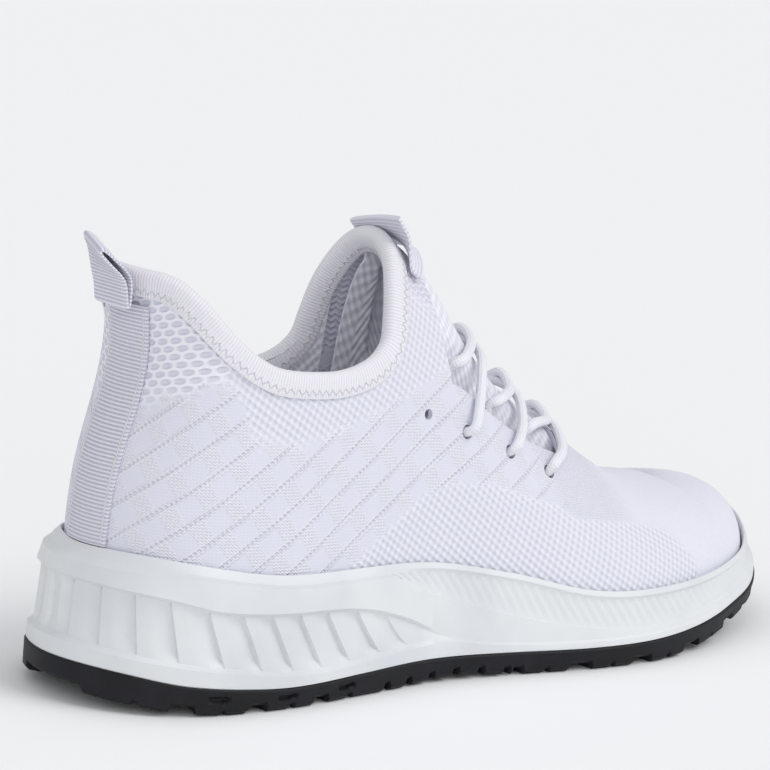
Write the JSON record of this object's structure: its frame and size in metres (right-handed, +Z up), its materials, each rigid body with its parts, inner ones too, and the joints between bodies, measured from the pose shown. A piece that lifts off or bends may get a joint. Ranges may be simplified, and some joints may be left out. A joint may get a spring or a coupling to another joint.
{
  "type": "running shoe",
  "caption": "Low-cut knitted running shoe for the right foot, with a cup foam midsole, lugged rubber outsole, padded collar, laced throat and heel pull loop.",
  "frame": {"origin": "on the ground, under the middle of the sole's length and width", "axes": "+X from heel to toe, +Y towards the inner (medial) side of the foot, +Z up"},
  "size_m": [0.295, 0.0976, 0.1459],
  "materials": {
    "outsole_rubber": "moulded, semi-matt",
    "midsole_foam": "moulded foam, satin skin",
    "board_fabric": "non-woven board",
    "insole_fabric": "brushed knit over foam",
    "knit_fabric": "engineered knit",
    "stiffener": "plain sheet",
    "padding": "open-cell foam",
    "lining_fabric": "coarse knit",
    "tape": "woven tape",
    "binding_tape": "ribbed elastic tape",
    "webbing": "ribbed webbing",
    "lace_cord": "tubular weave",
    "lace_tip": "heat-formed sleeve"
  },
  "bodies": {
    "shoe": {"outsole": "outsole_rubber", "midsole": "midsole_foam", "lasting_board": "board_fabric", "insole": "insole_fabric", "knit_upper": "knit_fabric", "heel_counter": "stiffener", "toe_puff": "stiffener", "collar_padding": "padding", "collar_lining": "lining_fabric", "throat_underlay": "lining_fabric", "eyelet_backing_outer": "tape", "eyelet_backing_inner": "tape", "collar_binding": "binding_tape", "heel_strip": "webbing", "tongue_tab": "webbing", "lace": "lace_cord", "lace_tip_outer": "lace_tip", "lace_tip_inner": "lace_tip"},
    "pull_loop": {"pull_loop": "webbing"}
  },
  "joints": [
    {"name": "pull_loop_fold", "type": "hinge", "parent": "shoe", "child": "pull_loop", "pos_m": [-0.13305, 0.00086, 0.11777], "axis": [0, -1, 0], "range_deg": [0, 55]}
  ]
}
